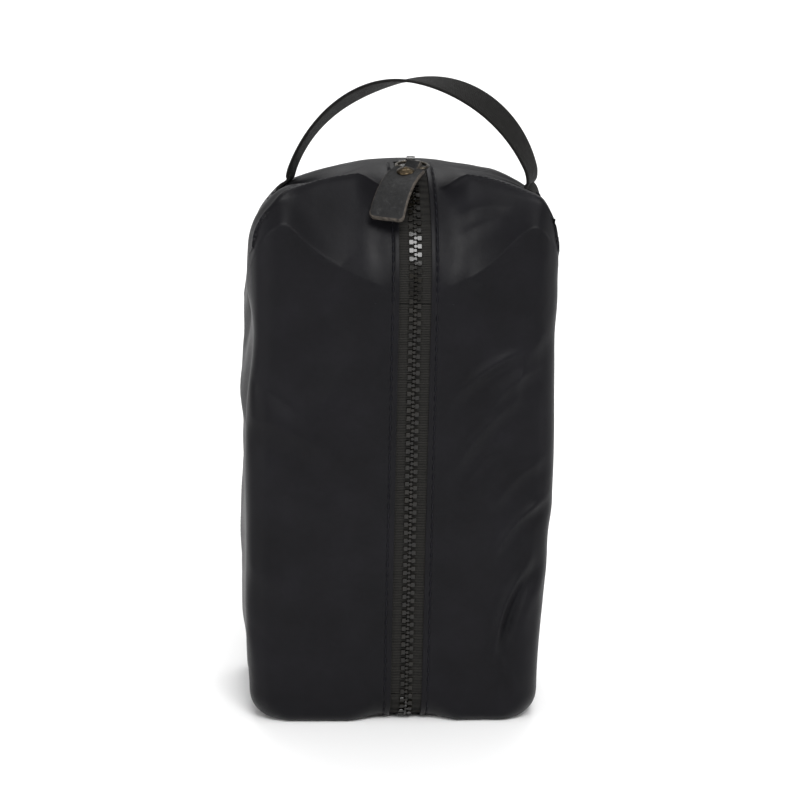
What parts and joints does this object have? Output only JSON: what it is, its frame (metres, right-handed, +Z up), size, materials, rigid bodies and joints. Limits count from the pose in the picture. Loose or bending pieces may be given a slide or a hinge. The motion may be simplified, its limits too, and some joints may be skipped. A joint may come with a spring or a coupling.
{
  "type": "shoe bag",
  "caption": "Upright zipped cloth shoe bag with a webbing handle, a zip over its front and top, and a leather pull.",
  "frame": {"origin": "centre of the base, on the surface that the bag stands on", "axes": "+Z up towards the handle, -Y towards the zipped front, +X to the right of someone facing the front"},
  "size_m": [0.1844, 0.124, 0.376],
  "materials": {
    "nylon": "semi-gloss black nylon cloth",
    "lining": "matt dark polyester lining",
    "tape": "ribbed woven zip tape",
    "tooth": "glossy moulded zip teeth",
    "thread": "bonded sewing thread",
    "webbing": "ribbed nylon webbing",
    "binding": "woven seam binding",
    "slider_metal": "black enamel on zinc",
    "spring_steel": "spring steel",
    "ring_brass": "aged antique brass wire",
    "leather": "scuffed black leather",
    "rivet_brass": "antique brass"
  },
  "bodies": {
    "root": {"corner_binding_bottom_left": "binding", "corner_binding_bottom_right": "binding", "corner_binding_top_left": "binding", "corner_binding_top_right": "binding", "handle_bartack_left": "thread", "handle_bartack_right": "thread", "handle_end_left": "webbing", "handle_end_right": "webbing", "lining_back": "lining", "lining_base": "lining", "lining_side_left": "lining", "lining_side_right": "lining", "lining_top": "lining", "outer_back_panel": "nylon", "outer_bottom_front_left": "nylon", "outer_bottom_front_right": "nylon", "outer_bottom_rear": "nylon", "outer_side_left": "nylon", "outer_side_right": "nylon", "outer_top_front_left": "nylon", "outer_top_front_right": "nylon", "outer_top_rear": "nylon", "seam_binding_bottom": "binding", "seam_binding_top": "binding", "topstitch_left_bottom": "thread", "topstitch_left_top": "thread", "topstitch_right_bottom": "thread", "topstitch_right_top": "thread", "zip_bottom_stop": "tooth", "zip_tape_left_bottom": "tape", "zip_tape_left_top": "tape", "zip_tape_right_bottom": "tape", "zip_tape_right_top": "tape", "zip_teeth_left_bottom": "tooth", "zip_teeth_left_top": "tooth", "zip_teeth_right_bottom": "tooth", "zip_teeth_right_top": "tooth", "zip_top_stop_left": "tooth", "zip_top_stop_right": "tooth"},
    "slider": {"slider_body": "slider_metal", "slider_bridge": "slider_metal", "slider_lock_spring": "spring_steel"},
    "ring": {"pull_ring": "ring_brass"},
    "tab": {"pull_tab": "leather", "rivet_cap": "rivet_brass", "rivet_post": "rivet_brass"},
    "handle": {"handle_webbing": "webbing"},
    "door_left": {"front_panel_left": "nylon", "lining_front_left": "lining", "zip_tape_left_front": "tape", "zip_teeth_left_front": "tooth", "topstitch_left_front": "thread"},
    "door_right": {"front_panel_right": "nylon", "lining_front_right": "lining", "zip_tape_right_front": "tape", "zip_teeth_right_front": "tooth", "topstitch_right_front": "thread"}
  },
  "joints": [
    {"name": "zip_slider", "type": "hinge", "parent": "root", "child": "slider", "pos_m": [0, 0.015, 0.252], "axis": [1, 0, 0], "range_deg": [0, 60], "deforming": ["zip_teeth_left_top", "zip_teeth_right_top"]},
    {"name": "pull_ring", "type": "hinge", "parent": "slider", "child": "ring", "pos_m": [0, -0.00937, 0.32746], "axis": [-1, 0, 0], "range_deg": [0, 90]},
    {"name": "pull_tab", "type": "hinge", "parent": "ring", "child": "tab", "pos_m": [-0.00374, -0.02688, 0.32562], "axis": [-0.9135, 0.4045, 0.0425], "range_deg": [0, 60]},
    {"name": "handle_swing", "type": "hinge", "parent": "root", "child": "handle", "pos_m": [0, 0, 0.33], "axis": [1, 0, 0], "range_deg": [-60, 60]},
    {"name": "door_left_open", "type": "hinge", "parent": "root", "child": "door_left", "pos_m": [-0.074, -0.06, 0.135], "axis": [0, 0, -1], "range_deg": [0, 70]},
    {"name": "door_right_open", "type": "hinge", "parent": "root", "child": "door_right", "pos_m": [0.074, -0.06, 0.135], "axis": [0, 0, 1], "range_deg": [0, 70]}
  ]
}
